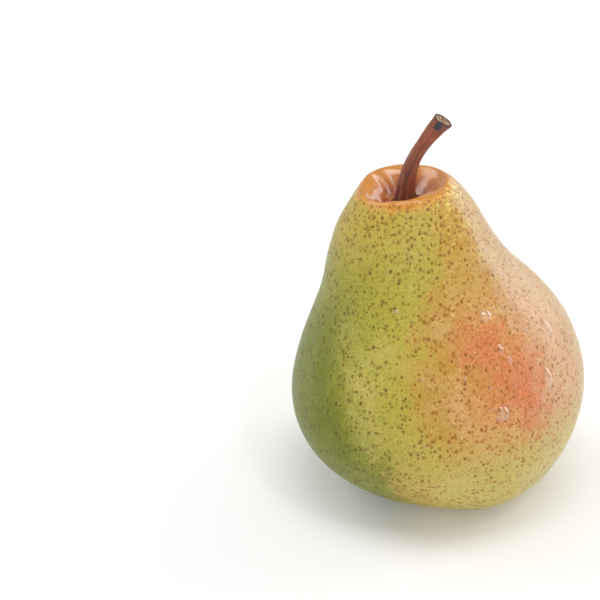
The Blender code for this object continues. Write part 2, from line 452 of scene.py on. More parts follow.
# Heights over the table between which an effect comes in, from none at the first to all at the second.
NECK_LESS_SUNNY = (0.056, 0.070)
# These two bands spread the painted shade down towards the base and fade it up the neck.
BASE_MORE_SHADED = (0.042, 0.014)
NECK_TO_SHADE = (0.078, 0.040)
BELLY_FLOOR = (0.026, 0.044)
BELLY_ROOF = (0.066, 0.050)
PALE_BASE = (0.044, 0.022)
SHEEN_FLOOR = (0.020, 0.036)
CLUSTER_FLOOR = (0.040, 0.056)

# Distances from the crest of the rim, negative inside the cavity, read in the same way.
OUTSIDE_RIM = (0.0, 0.0012)
CORK_COLLAR = (0.0030, 0.0007)
CORK_EDGE = (-0.0006, 0.0022)
CORK_WALL = (-0.0016, -0.0030)
# The russet deepens towards the cavity's floor, partly its own colour and partly painted shade.
CORK_FLOOR = (-0.0028, -0.0060)
NECK_TINTED = (0.020, 0.002)
NECK_SPECKED = (0.026, 0.004)
DASHED_BELOW = (0.0070, 0.0030)
DASHED_ABOVE = (-0.0006, 0.0010)
GLOSSY_CAVITY = (0.0014, -0.0006)
SMOOTH_CAVITY = (0.0004, -0.0012)

FOOT_CORKED = (0.0035, 0.0005)  # distances from the inner edge of the foot
SKIN_CORE = (-0.003, 0.0, 0.0)  # the line that the sides of the skin are seen from
SKIN_BUMP = 0.00011


def from_rim(place, mouth):
    """Distance of a place on the skin from the crest of the stem cavity's rim. It is negative inside."""
    local = mouth @ place
    radius = math.hypot(local.x, local.y)
    away = math.hypot(radius - CAVITY_RADIUS, local.z)
    inside = radius < CAVITY_RADIUS and local.z > -(CAVITY_DEPTH + SOCKET_DEPTH) * 1.3
    return -away if inside else away


def from_foot(place, base):
    """Distance of a place on the skin from the inner edge of the foot. It is negative in the basin."""
    radius = math.hypot(place.x - base.x, place.y - base.y)
    away = math.hypot(radius - BASIN_RADIUS, place.z)
    inside = radius < BASIN_RADIUS and place.z < BASIN_DEPTH * 1.2
    return -away if inside else away


def skin_relief(place, rim, foot, mouth, base, swell):
    """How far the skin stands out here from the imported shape."""
    steady = eased(foot, 0.004, 0.014)  # the foot stays flat on the table
    slow = swell * noise.noise(place * 60) + 0.25 * swell * noise.noise(place * 170)
    fine = 0.00004 * noise.noise(place * 520) * (1.0 - eased(-rim, -0.001, 0.001))
    local = mouth @ place
    angle = math.atan2(local.y, local.x)
    near_rim = math.exp(-((rim / 0.0035) ** 2))
    pleats = math.cos(7 * angle + 0.8) + 0.7 * math.cos(11 * angle + 2.0)
    height = steady * (slow + fine) + 0.00005 * near_rim * pleats
    if rim < 0:
        wall = eased(-rim, 0.0, 0.0016) * eased(-rim, 0.0068, 0.0035)
        for side, reach, rise in CAVITY_FOLDS:
            away = math.remainder(angle - side, math.tau) / reach
            height += rise * wall * math.exp(-(away**2))
    if foot < 0:
        around = math.atan2(place.y - base.y, place.x - base.x)
        deep = eased(-foot, 0.0, 0.002) * eased(-foot, 0.0075, 0.003)
        height += 0.00018 * deep * (math.cos(10 * around) + 0.5 * math.cos(23 * around))
    return height


class SkinMaps:
    """The masks that the colours, the gloss and the relief of the skin share."""

    def __init__(self, tree, look):
        self.tree, self.place = tree, object_place(tree)
        self.height = add(tree, "SeparateXYZ", {0: self.place}).outputs[2]
        self.rim, self.foot = attribute_of(tree, "from_rim"), attribute_of(tree, "from_foot")
        self.outside = ranged(tree, self.rim, *OUTSIDE_RIM)
        mottle = pattern(tree, mottle_group(), self.place, Patch=0.013, Grain=0.00045)
        self.clouds, self.blotches, self.grain = mottle
        outward = vector_of(tree, "SUBTRACT", self.place, SKIN_CORE)
        outward = stretched(tree, outward, 1.0, 0.0)
        self.outward = vector_of(tree, "NORMALIZE", outward)

        self.facing = self.toward(look.sun_side)
        cloudy = nudged(tree, self.facing, self.clouds, 0.70)
        cloudy = nudged(tree, nudged(tree, cloudy, self.blotches, 0.34), self.grain, 0.30)
        less = ranged(tree, self.height, *NECK_LESS_SUNNY, 0.0, -0.22)
        self.sunny = math_of(tree, "ADD", cloudy, less)
        self.wet = nudged(tree, self.toward(WET_SIDE), self.blotches, 0.3)
        by_sun = ranged(tree, self.sunny, 0.36, 0.78, 0.0, 0.95)
        by_wet = ranged(tree, self.wet, 0.38, 0.92, 0.0, 0.95)
        self.tan = math_of(tree, "MAXIMUM", by_sun, by_wet)

        # Painted shade: a deeper green on the side away from the sun, spreading near the base and fading up
        # the neck.
        low = ranged(tree, self.height, *BASE_MORE_SHADED, 0.0, -0.56)
        self.under = math_of(tree, "ADD", self.sunny, low)
        high = nudged(tree, self.height, self.clouds, -0.030)
        cool = nudged(tree, self.toward(PAINTED_SHADE_SIDE), self.clouds, 0.8)
        self.painted_shade = product(
            tree,
            ranged(tree, self.under, 0.54, -0.36, 0.0, 0.98),
            ranged(tree, high, *NECK_TO_SHADE, 0.10, 1.0),
            ranged(tree, cool, -0.25, 0.75, 0.12, 1.0),
        )
        self.hearts = self.blush_hearts()
        self.ragged = nudged(tree, self.rim, self.blotches, 0.0030)
        self.collar = ranged(tree, self.ragged, *CORK_COLLAR)

    def toward(self, side):
        """How squarely the skin faces this side: 1 faces it, -1 faces away."""
        return vector_of(self.tree, "DOT_PRODUCT", self.outward, (math.cos(side), math.sin(side), 0.0))

    def blush_hearts(self):
        """1 in the middle of a red patch of the blush, with cloudy and grainy edges."""
        tree, hearts = self.tree, 0.0
        for side, out, level, reach in BLUSHES:
            heart = (out * math.cos(side), out * math.sin(side), level)
            away = vector_of(tree, "LENGTH", vector_of(tree, "SUBTRACT", self.place, heart))
            away = nudged(tree, nudged(tree, away, self.blotches, 0.016), self.grain, 0.006)
            hearts = math_of(tree, "MAXIMUM", hearts, ranged(tree, away, reach * 1.1, reach * 0.1))
        return hearts

    def flecks(self, spacing, stretch, size, share, softness, wobble=0.3):
        """The mask and the random shade of one kind of fleck."""
        inputs = {"Spacing": spacing, "Stretch": stretch, "Size": size, "Share": share}
        inputs.update({"Softness": softness, "Wobble": wobble})
        return pattern(self.tree, flecks_group(), self.place, **inputs)


def ground_colour(maps, look):
    """Green with painted shade away from the sun, tan and red towards the sun, and pale at the base."""
    tree, hearts = maps.tree, maps.hearts
    low = scaled(tree, maps.clouds, 0.012, maps.height)
    belly = product(tree, ranged(tree, low, *BELLY_FLOOR), ranged(tree, maps.height, *BELLY_ROOF))
    peach = product(tree, ranged(tree, maps.sunny, 0.74, 0.98, 0.0, 0.95), belly)
    by_under, by_wet = ranged(tree, maps.under, -0.12, 0.30), ranged(tree, maps.wet, 0.20, 0.60)
    not_cool = math_of(tree, "MAXIMUM", by_under, by_wet)
    pale_base = product(tree, ranged(tree, low, *PALE_BASE, 0.0, 0.92), not_cool)
    # Waxy bloom: pale cloudy patches, partly the skin's own bloom and partly a painted soft highlight.
    bloom = product(
        tree,
        ranged(tree, maps.clouds, 0.40, 0.66),
        ranged(tree, maps.blotches, 0.30, 0.60, 0.5, 1.0),
        scaled(tree, hearts, -0.7, 0.34),
        scaled(tree, maps.painted_shade, -0.7, 1.0),
    )
    # Painted sheen: a pale greyish veil on the far edge that stands in for a reflection.
    painted_sheen = ranged(tree, maps.wet, 0.82, 1.0, 0.0, 0.36)
    return layered(
        tree,
        look.green,
        (maps.painted_shade, look.painted_shade_green),
        (maps.tan, look.gold),
        (peach, look.peach),
        (product(tree, hearts, 0.72), look.rose),
        (pale_base, look.straw),
        (bloom, WAXY_BLOOM_AND_SHEEN),
        (product(tree, painted_sheen, ranged(tree, maps.height, *SHEEN_FLOOR)), PAINTED_EDGE_SHEEN),
    )


def with_russet(maps, look, colour):
    """Adds the russet in and round the stem cavity, and a little round the calyx."""
    tree = maps.tree
    cork = layered(
        tree,
        LIP_CORK,
        (ranged(tree, maps.rim, *CORK_WALL), look.russet),
        # Deeper russet by the stem's foot, partly its own colour and partly painted shade in the hollow.
        (ranged(tree, maps.rim, *CORK_FLOOR), DEEP_CORK_AND_SHADE),
        (ranged(tree, maps.blotches, 0.40, 0.62, 0.0, 0.5), PATCHY_CORK),
        (ranged(tree, maps.ragged, *CORK_EDGE), EDGE_CORK),
    )
    foot = scaled(tree, maps.blotches, 0.006, maps.foot)
    return layered(
        tree,
        colour,
        (ranged(tree, maps.rim, *NECK_TINTED, 0.0, 0.55), NECK_TINT),
        (maps.collar, cork),
        (ranged(tree, foot, *FOOT_CORKED), FOOT_CORK),
    )


def with_flecks(maps, look, colour):
    """Adds pores of two sizes, painted glints, corky specks and pale strokes in the neck, and grain.

    Returns the colour, the mask of the large pores and the mask of the neck's marks.
    """
    tree, tan, outside = maps.tree, maps.tan, maps.outside
    large, large_shade = maps.flecks(look.speck_spacing, 1.2, 0.54, 0.72, 0.70)
    small, small_shade = maps.flecks(look.speck_spacing * 0.6, 1.3, 0.36, 0.6, 0.6)
    crowd, _ = maps.flecks(0.00095, 1.5, 0.42, 0.9, 0.5, 0.8)
    pale, _ = maps.flecks(0.0009, 2.0, 0.40, 0.85, 0.5, 0.7)
    dashes, _ = maps.flecks(0.0012, 1.6, 0.46, 0.7, 0.35, 0.9)
    ink = layered(
        tree,
        look.speck,
        (tan, look.warm_speck),
        (product(tree, maps.hearts, 0.72, 0.8), BLUSH_SPECK),
        (ranged(tree, large_shade, 0.55, 0.95, 0.0, 0.40), DARK_SPECK),
        # Specks are painted darker too where the skin has painted shade.
        (product(tree, maps.painted_shade, 0.55), SHADE_SPECK),
    )
    # Painted glints: small bright points on the tan skin.
    glints = product(tree, ranged(tree, small_shade, 0.88, 0.92), small, tan, outside, 0.8)

    near = ranged(tree, nudged(tree, maps.rim, maps.blotches, -0.030), *NECK_SPECKED)
    clusters = ranged(tree, maps.blotches, 0.50, 0.62)
    clusters = product(tree, clusters, ranged(tree, maps.height, *CLUSTER_FLOOR), tan)
    necked = product(tree, math_of(tree, "MAXIMUM", near, clusters), outside)
    corky = product(tree, crowd, necked)
    strokes = product(tree, pale, necked, tan)
    dashed = product(
        tree,
        ranged(tree, maps.rim, *DASHED_BELOW),
        ranged(tree, maps.rim, *DASHED_ABOVE),
        ranged(tree, maps.facing, 0.60, 0.85),
        dashes,
        0.75,
    )
    light = ranged(tree, maps.grain, 0.50, 0.72, 0.0, 0.30)
    dark = ranged(tree, maps.grain, 0.46, 0.28, 0.0, 0.22)
    colour = layered(
        tree,
        colour,
        (product(tree, large, outside, scaled(tree, large_shade, 0.4, 0.64)), ink),
        (product(tree, small, 0.5, outside), ink),
        (glints, GLINT),
        (product(tree, corky, 0.75), NECK_SPECK),
        (product(tree, strokes, 0.6), NECK_STROKE),
        (dashed, RIM_DASH),
        (product(tree, light, outside, scaled(tree, maps.painted_shade, -0.8, 1.0)), LIGHT_GRAIN),
        (product(tree, dark, outside), DARK_GRAIN),
    )
    return colour, large, math_of(tree, "ADD", corky, strokes)


def make_skin_material(look):
    material, tree, shader = new_material("pear_skin")
    maps = SkinMaps(tree, look)
    colour = with_russet(maps, look, ground_colour(maps, look))
    colour, pores, marks = with_flecks(maps, look, colour)

    gloss = ranged(tree, maps.grain, 0.3, 0.7, 0.36, 0.48)
    gloss = scaled(tree, maps.collar, -0.16, scaled(tree, pores, 0.12, gloss))
    wet_coat = ranged(tree, maps.wet, 0.62, 0.95, 0.07, 0.34)
    cavity_coat = ranged(tree, maps.rim, *GLOSSY_CAVITY, 0.0, 0.8)

    streaks = noise_of(tree, stretched(tree, maps.place, 1.0, 0.22), 900.0, 3.0, 0.6).outputs["Fac"]
    relief = product(tree, maps.grain, 0.35)
    for mask, rise in ((pores, 0.5), (maps.blotches, 0.9), (marks, 0.5), (streaks, 0.8)):
        relief = scaled(tree, mask, rise, relief)
    relief = product(tree, relief, ranged(tree, maps.rim, *SMOOTH_CAVITY, 1.0, 0.12))
    set_bump(tree, shader, relief, SKIN_BUMP, 0.8)
    finish = {
        "Base Color": colour,
        "Roughness": gloss,
        "Coat Weight": math_of(tree, "MAXIMUM", wet_coat, cavity_coat),
        "Coat Roughness": 0.18,
        "Coat IOR": 1.8,
        "Specular IOR Level": 0.25,
        "Subsurface Weight": 0.10,
        "Subsurface Radius": (1.0, 0.5, 0.2),
        "Subsurface Scale": 0.0008,
    }
    fill(tree, shader, finish)
    return material


class PEAR_OT_fruit(bpy.types.Operator):
    """Make the fruit: its uneven skin, the stem cavity and the calyx basin"""

    bl_idname = "pear.fruit"
    bl_label = "Make Fruit"

    def execute(self, context):
        look = context.scene.pear_skin
        mouth, base = crown().inverted(), basin_middle()
        form = merged_copy("fruit")
        bmesh.ops.join_triangles(
            form,
            faces=form.faces,
            angle_face_threshold=math.radians(60),
            angle_shape_threshold=math.radians(90),
        )
        piece = linked(form, "pear_flesh", [make_skin_material(look)])
        applied(subdivided(piece, 1))
        mesh = piece.data
        for extra in [a.name for a in mesh.attributes if a.name == "custom_normal"]:
            mesh.attributes.remove(mesh.attributes[extra])
        places = [vert.co.copy() for vert in mesh.vertices]
        normals = [vert.normal.copy() for vert in mesh.vertices]
        rims = [from_rim(place, mouth) for place in places]
        feet = [from_foot(place, base) for place in places]
        for vert, place, normal, rim, foot in zip(mesh.vertices, places, normals, rims, feet):
            vert.co = place + normal * skin_relief(place, rim, foot, mouth, base, look.swell)
        write_floats(mesh, "from_rim", rims)
        write_floats(mesh, "from_foot", feet)
        mesh.shade_smooth()
        subdivided(piece, 1)
        finish_piece(piece, "fruit")
        return {"FINISHED"}


# ------------------------------------------------------------------------------ the stem


class PearStem(bpy.types.PropertyGroup):
    bark: colour_setting("Bark Colour", "Reddish brown of the woody stem", 142, 74, 46)
    dark_bark: colour_setting("Dark Bark Colour", "Furrows of the stem, and its foot", 98, 50, 36)
    wood: colour_setting("Wood Colour", "Dry wood at the cut end", 206, 182, 142)
    ridge_depth: length_setting("Ridge Depth", "Depth of the furrows along the stem", 0.00011)
    sections: count_setting("Sections", "Sections along the stem", 84, 12)
    sides: count_setting("Sides", "Sides round the stem", 44, 8)


RUSTY_BARK = paint(166, 78, 46)
STEM_FOOT = paint(86, 48, 46)
BARK_BLOOM = paint(170, 128, 112)
BARK_SPECK = paint(168, 120, 84)
SINGED_END = paint(52, 32, 28)
BRUISE = paint(34, 42, 54)
BRUISE_SPOT = (-0.0006, -0.0020, STEM_LENGTH - 0.0013)  # on the straight stem
BRUISE_REACH = (0.0018, 0.0013)
DARK_FOOT = (0.0075, 0.0015)  # heights on the straight stem
DARK_END = (STEM_LENGTH - 0.0016, STEM_LENGTH - 0.0004)
BARK_BUMP = 0.00012
FRESH_WOOD = paint(150, 108, 74)
WOOD_CRACK = paint(58, 38, 34)
PITH = paint(112, 74, 56)
ROSY_WOOD = paint(196, 126, 110)
WOOD_RIM = paint(60, 36, 32)
WOOD_BUMP = 0.00022
# The rings that the cut end steps through, from the bark inwards: width and rise.
CUT_RINGS = (
    (0.00016, 0.0),
    (0.00016, -0.00022),
    (0.0005, -0.0001),
    (0.0005, 0.00008),
    (0.0004, -0.0002),
)
KNUCKLE_SIDE = Vector((-0.5, -0.86, 0))
CORNER_SIDE = Vector((0.93, -0.37, 0))


def stem_path(share):
    """The stem's middle at this share of its length, and its lean, in the crown's frame."""
    steps = 18
    place, step = Vector((0, 0, -CAVITY_DEPTH)), STEM_LENGTH / steps
    bend = 0.0
    for count in range(steps + 1):
        done = count / steps
        bend = mix(STEM_LEAN * min(done / 0.1, 1.0), STEM_BEND, eased((done - 0.02) / 0.80))
        left = share * steps - count
        if left <= 1.0:
            place += step * max(left, 0.0) * Vector((math.sin(bend), 0, math.cos(bend)))
            return place, bend
        place += step * Vector((math.sin(bend), 0, math.cos(bend)))
    return place, bend


def stem_radius(share):
    foot = mix(STEM_ROOT_RADIUS, STEM_RADIUS, min(max(share, 0.0) / 0.5, 1.0) ** 0.55)
    tip = (STEM_TIP_RADIUS - STEM_RADIUS) * max((share - 0.6) / 0.4, 0.0) ** 1.6
    collar = 0.0009 * math.exp(-((share / 0.035) ** 2))
    return foot + tip + collar


def bent(point, mouth):
    """Where a point of the straight stem, with Z along it, goes on the bent one."""
    if point.z < 0:
        return mouth @ Vector((point.x, point.y, point.z - CAVITY_DEPTH))
    place, lean = stem_path(point.z / STEM_LENGTH)
    across = Vector((math.cos(lean), 0, -math.sin(lean)))
    return mouth @ (place + across * point.x + Vector((0, point.y, 0)))


def furrowed(point, depth):
    """A point of the straight stem, moved in or out by its furrows, scars and knuckles."""
    radius = math.hypot(point.x, point.y)
    if radius < 1e-6:
        return point
    share = point.z / STEM_LENGTH
    round_stem = Vector((point.x / radius, point.y / radius, 0))
    coarse = noise.noise(Vector((round_stem.x * 1.9, round_stem.y * 1.9, share * 3.1)))
    furrow = noise.noise(Vector((round_stem.x * 4.6, round_stem.y * 4.6, share * 4.0 + 7)))
    rough = noise.noise(Vector((point.x * 2600, point.y * 2600, point.z * 900)))
    knuckle = math.exp(-(((share - 0.86) / 0.045) ** 2)) * max(0.0, round_stem.dot(KNUCKLE_SIDE))
    corner = eased(share, 0.90, 1.0) * max(0.0, round_stem.dot(CORNER_SIDE)) ** 8
    push = depth * (1.3 * coarse + 1.2 * furrow + 0.35 * rough) + 0.00016 * knuckle + 0.00022 * corner
    return point + round_stem * push * min(radius / STEM_RADIUS, 1.0)


def make_bark_material(look):
    material, tree, shader = new_material("stem_bark")
    place = attribute_of(tree, "straight", "Vector")
    height = add(tree, "SeparateXYZ", {0: place}).outputs[2]
    clouds, blotches, _ = pattern(tree, mottle_group(), place, Patch=0.004, Grain=0.0004, Stretch=2.0)
    fibre, cord = pattern(tree, fibres_group(), place, Width=0.00032, Length=0.0045)
    inputs = {"Spacing": 0.0011, "Stretch": 1.8, "Size": 0.28, "Share": 0.6, "Softness": 0.6}
    specks, _ = pattern(tree, flecks_group(), place, **inputs)
    away = vector_of(tree, "SUBTRACT", place, BRUISE_SPOT)
    away = vector_of(tree, "LENGTH", stretched(tree, away, 1.0, 0.8))
    bruised = ranged(tree, scaled(tree, fibre, 0.0012, away), *BRUISE_REACH)
    bloom = product(tree, ranged(tree, blotches, 0.5, 0.66), ranged(tree, fibre, 0.4, 0.62), 0.35)
    end = ranged(tree, scaled(tree, fibre, -0.0012, height), *DARK_END)
    colour = layered(
        tree,
        look.dark_bark,
        (ranged(tree, scaled(tree, cord, 0.6, product(tree, fibre, 0.4)), 0.36, 0.62), look.bark),
        (ranged(tree, clouds, 0.46, 0.68, 0.0, 0.7), RUSTY_BARK),
        (ranged(tree, scaled(tree, blotches, 0.004, height), *DARK_FOOT, 0.0, 0.8), STEM_FOOT),
        (bloom, BARK_BLOOM),
        (product(tree, specks, 0.45), BARK_SPECK),
        (product(tree, end, 0.75), SINGED_END),
        (product(tree, bruised, 0.92), BRUISE),
    )
    gloss = scaled(tree, bruised, -0.22, ranged(tree, fibre, 0.3, 0.7, 0.62, 0.44))
    fill(tree, shader, {"Base Color": colour, "Roughness": gloss})
    relief = scaled(tree, specks, 0.4, scaled(tree, cord, 0.8, fibre))
    set_bump(tree, shader, relief, BARK_BUMP, 0.9)
    return material


def make_wood_material(look):
    material, tree, shader = new_material("cut_wood")
    place = attribute_of(tree, "straight", "Vector")
    fibre, cord = pattern(tree, fibres_group(), place, Width=0.00022, Length=0.0030)
    clouds, _, _ = pattern(tree, mottle_group(), place, Patch=0.0018, Grain=0.00025)
    ragged = scaled(tree, cord, 0.0005, vector_of(tree, "LENGTH", stretched(tree, place, 1.0, 0.0)))
    colour = layered(
        tree,
        FRESH_WOOD,
        (ranged(tree, fibre, 0.32, 0.62), look.wood),
        (ranged(tree, cord, 0.50, 0.40, 0.0, 0.9), WOOD_CRACK),
        (ranged(tree, ragged, 0.0009, 0.0004, 0.0, 0.55), PITH),
        (ranged(tree, clouds, 0.5, 0.7, 0.0, 0.5), ROSY_WOOD),
        (ranged(tree, ragged, STEM_TIP_RADIUS - 0.0003, STEM_TIP_RADIUS + 0.0001), WOOD_RIM),
    )
    fill(tree, shader, {"Base Color": colour, "Roughness": 0.75})
    set_bump(tree, shader, math_of(tree, "ADD", fibre, cord), WOOD_BUMP)
    return material


def ring_of(form, verts):
    """The edges that join these vertices to each other."""
    verts = set(verts)
    return [edge for edge in form.edges if verts.issuperset(edge.verts)]


def extruded(form, ring):
    """Extrudes a closed ring of vertices, and returns the new ring."""
    made = bmesh.ops.extrude_edge_only(form, edges=ring_of(form, ring))
    return [item for item in made["geom"] if isinstance(item, bmesh.types.BMVert)]


def straight_stem(sections, sides):
    """The stem as it was before it bent: its Z runs along it, from the root to the cut end."""
    form = bmesh.new()
    root = -SOCKET_DEPTH
    bmesh.ops.create_circle(form, segments=sides, radius=STEM_ROOT_RADIUS)
    bmesh.ops.translate(form, verts=form.verts, vec=(0, 0, root))
    ring, radius, height = list(form.verts), STEM_ROOT_RADIUS, root
    bmesh.ops.edgeloop_fill(form, edges=form.edges)
    for count in range(1, sections + 1):
        goal = mix(root, STEM_LENGTH, count / sections)
        wide = stem_radius(goal / STEM_LENGTH) if goal > -0.0008 else STEM_ROOT_RADIUS
        ring = extruded(form, ring)
        bmesh.ops.translate(form, verts=ring, vec=(0, 0, goal - height))
        bmesh.ops.scale(form, verts=ring, vec=(wide / radius, wide / radius, 1))
        radius, height = wide, goal
    return form, ring


def close_cut(form, ring):
    """Closes the cut end with rings of torn fibres: a raised bark edge round a hollowed face."""
    face = bmesh.ops.edgeloop_fill(form, edges=ring_of(form, ring))["faces"][0]
    for width, depth in CUT_RINGS:
        bmesh.ops.inset_region(form, faces=[face], thickness=width, depth=depth, use_even_offset=True)
        for edge in face.edges:
            for wall in edge.link_faces:
                wall.material_index = 1
    bmesh.ops.poke(form, faces=[face])


class PEAR_OT_stem(bpy.types.Operator):
    """Make the woody stem with its furrows, its swollen foot and its cut end"""

    bl_idname = "pear.stem"
    bl_label = "Make Stem"

    def execute(self, context):
        look, mouth = context.scene.pear_stem, crown()
        form, ring = straight_stem(look.sections, look.sides)
        close_cut(form, ring)
        bmesh.ops.recalc_face_normals(form, faces=form.faces)
        straight = []
        for vert in form.verts:
            straight.extend(vert.co)
            torn = eased(vert.co.z, STEM_LENGTH - 0.0009, STEM_LENGTH - 0.0002)
            inner = 1.0 - eased(math.hypot(vert.co.x, vert.co.y), 0.0006, STEM_TIP_RADIUS)
            splinter = noise.noise(Vector((vert.co.x * 1900, vert.co.y * 1900, 3.0)))
            point = furrowed(vert.co.copy(), look.ridge_depth)
            point.z += torn * (0.00050 * splinter * (0.5 + inner) + 0.10 * point.x)
            vert.co = bent(point, mouth)
        piece = linked(form, "woody_stem", [make_bark_material(look), make_wood_material(look)])
        layer = piece.data.attributes.new("straight", "FLOAT_VECTOR", "POINT")
        layer.data.foreach_set("vector", straight)
        subdivided(piece, 1)
        finish_piece(piece, "stem")
        return {"FINISHED"}


# ------------------------------------------------------------------------------ the calyx


class PearCalyx(bpy.types.PropertyGroup):
    dry: colour_setting("Dry Leaf Colour", "Papery brown of the dried sepals", 92, 66, 44)
    dark: colour_setting("Dark Leaf Colour", "Shrivelled edges and tips", 42, 28, 22)
    sepal_length: length_setting("Sepal Length", "From the basin's floor to its tip", 0.0046, 0.001)
    sepal_width: length_setting("Sepal Width", "At its widest", 0.0029, 0.0005)
    sepal_thickness: length_setting("Sepal Thickness", "Of the dried leaf", 0.00022, 0.00005)
    stamens: count_setting("Stamens", "Dried stamens in the tuft", 22, 1)


STYLES = 5
STAMEN_RADIUS, STAMEN_TIP_RADIUS = 0.00011, 0.00028
STYLE_RADIUS, STYLE_TIP_RADIUS = 0.00016, 0.00012
STYLE_RING_RADIUS = 0.0004
STRAND_SIDES, STRAND_SECTIONS = 6, 5
STRAND_SWELLS = 0.55  # share of its length past which its tip grows
STRAND_END = 0.45  # how much the last section narrows
DRY_FIBRE = paint(138, 106, 70)
DRY_BUMP = 0.0001


def make_dry_material(look):
    material, tree, shader = new_material("dried_calyx")
    place = object_place(tree)
    clouds, _, grain = pattern(tree, mottle_group(), place, Patch=0.002, Grain=0.0003)
    fibre, _ = pattern(tree, fibres_group(), place, Width=0.00025, Length=0.0015)
    colour = layered(
        tree,
        look.dark,
        (ranged(tree, clouds, 0.35, 0.62), look.dry),
        (ranged(tree, fibre, 0.45, 0.7, 0.0, 0.6), DRY_FIBRE),
    )
    fill(tree, shader, {"Base Color": colour, "Roughness": ranged(tree, fibre, 0.3, 0.7, 0.9, 0.7)})
    set_bump(tree, shader, scaled(tree, grain, 0.5, fibre), DRY_BUMP, 0.9)
    return material


def make_sepal(number, node, look, material):
    """One dried leaf of the calyx: pointed, cupped along its midrib, with a curled and twisted tip."""
    chance = random.Random(number)
    curl, twist = chance.uniform(0.8, 1.5), chance.uniform(-0.5, 0.5)
    form = bmesh.new()
    bmesh.ops.create_grid(form, x_segments=14, y_segments=8, size=0.5)
    for vert in form.verts:
        along, across = vert.co.x + 0.5, vert.co.y * 2
        turn = SEPAL_RISE + curl * SEPAL_CURL * along / 2
        reach = look.sepal_length * along
        half = look.sepal_width / 2 * math.sin(math.pi * (0.30 + 0.68 * along)) ** 0.8
        side = across * math.cos(twist * along) * half
        cupped = 0.16 * look.sepal_width * across**2 - 0.0001 * math.exp(-((across / 0.16) ** 2))
        cupped += half * across * math.sin(twist * along)
        crinkle = 0.00012 * noise.noise(Vector((along * 5, across * 2.5, number * 3.7)))
        depth = cupped + crinkle
        vert.co.x = SEPAL_RING_RADIUS + reach * math.cos(turn) - depth * math.sin(turn)
        vert.co.y = side
        vert.co.z = -reach * math.sin(turn) - depth * math.cos(turn)
    spin = Matrix.Rotation(number * math.tau / len(SEPALS), 4, "Z")
    bmesh.ops.transform(form, matrix=spin, verts=form.verts)
    bmesh.ops.translate(form, verts=form.verts, vec=above_basin(0, 0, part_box(node)[1].z))
    piece = linked(form, f"dry_sepal_{number}", [material])
    wall = piece.modifiers.new("thickness", "SOLIDIFY")
    wall.thickness = look.sepal_thickness
    wall.offset = 0
    return subdivided(piece, 1)


def add_strand(form, root, lean, side, length, radius, tip_radius):
    """Adds a thin dried filament that droops as it goes down, with a swollen or pointed tip."""
    before = set(form.verts)
    ring = bmesh.ops.create_circle(form, segments=STRAND_SIDES, radius=radius)["verts"]
    bmesh.ops.edgeloop_fill(form, edges=ring_of(form, ring))
    for count in range(1, STRAND_SECTIONS + 1):
        share = count / STRAND_SECTIONS
        ring = extruded(form, ring)
        step = (lean * length * share / STRAND_SECTIONS, 0, -length / STRAND_SECTIONS)
        bmesh.ops.translate(form, verts=ring, vec=step)
        grow = (tip_radius / radius) ** (1 / 2) if share > STRAND_SWELLS else 1.0
        grow = STRAND_END if count == STRAND_SECTIONS else grow
        centre = Matrix.Translation(-middle(vert.co for vert in ring))
        bmesh.ops.scale(form, verts=ring, vec=(grow, grow, 1), space=centre)
    bmesh.ops.edgeloop_fill(form, edges=ring_of(form, ring))
    fresh = [vert for vert in form.verts if vert not in before]
    bmesh.ops.rotate(form, verts=fresh, cent=(0, 0, 0), matrix=Matrix.Rotation(side, 3, "Z"))
    bmesh.ops.translate(form, verts=fresh, vec=root)


class PEAR_OT_calyx(bpy.types.Operator):
    """Make the dried flower in the base: five sepals round a tuft of stamens and styles"""

    bl_idname = "pear.calyx"
    bl_label = "Make Calyx"

    def execute(self, context):
        look = context.scene.pear_calyx
        material = make_dry_material(look)
        for number, node in enumerate(SEPALS, 1):
            finish_piece(make_sepal(number, node, look, material), node)
        low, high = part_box("stamen_tuft")
        wide, tall = (high.x - low.x) / 2, high.z - low.z
        chance = random.Random(5)
        form = bmesh.new()
        for count in range(look.stamens):
            side = count * math.tau / look.stamens + chance.uniform(-0.1, 0.1)
            out = wide * chance.uniform(0.55, 0.8)
            root = above_basin(out, side, high.z)
            length = tall * chance.uniform(0.65, 0.95)
            lean = chance.uniform(-0.1, 0.45)
            add_strand(form, root, lean, side, length, STAMEN_RADIUS, STAMEN_TIP_RADIUS)
        for count in range(STYLES):
            side = count * math.tau / STYLES + 0.4
            root = above_basin(STYLE_RING_RADIUS, side, high.z)
            length = tall * chance.uniform(0.85, 1.0)
            add_strand(form, root, 0.25, side, length, STYLE_RADIUS, STYLE_TIP_RADIUS)
        bmesh.ops.create_cone(
            form,
            cap_ends=True,
            segments=20,
            radius1=wide * 0.55,
            radius2=wide * 0.95,
            depth=tall * 0.3,
            matrix=Matrix.Translation(above_basin(0, 0, high.z - tall * 0.15)),
        )
        bmesh.ops.recalc_face_normals(form, faces=form.faces)
        piece = linked(form, "dry_stamens", [material])
        subdivided(piece, 1)
        finish_piece(piece, "stamen_tuft")
        return {"FINISHED"}


# ------------------------------------------------------------------------------ the dew


class PearDew(bpy.types.PropertyGroup):
    beads: count_setting("Small Beads", "Small beads of water round the larger drops", 20, 0)
    flatness: FloatProperty(
        name="Flatness",
        description="Height of a drop as a share of its width",
        default=0.26,
        min=0.05,
        max=0.5,
    )


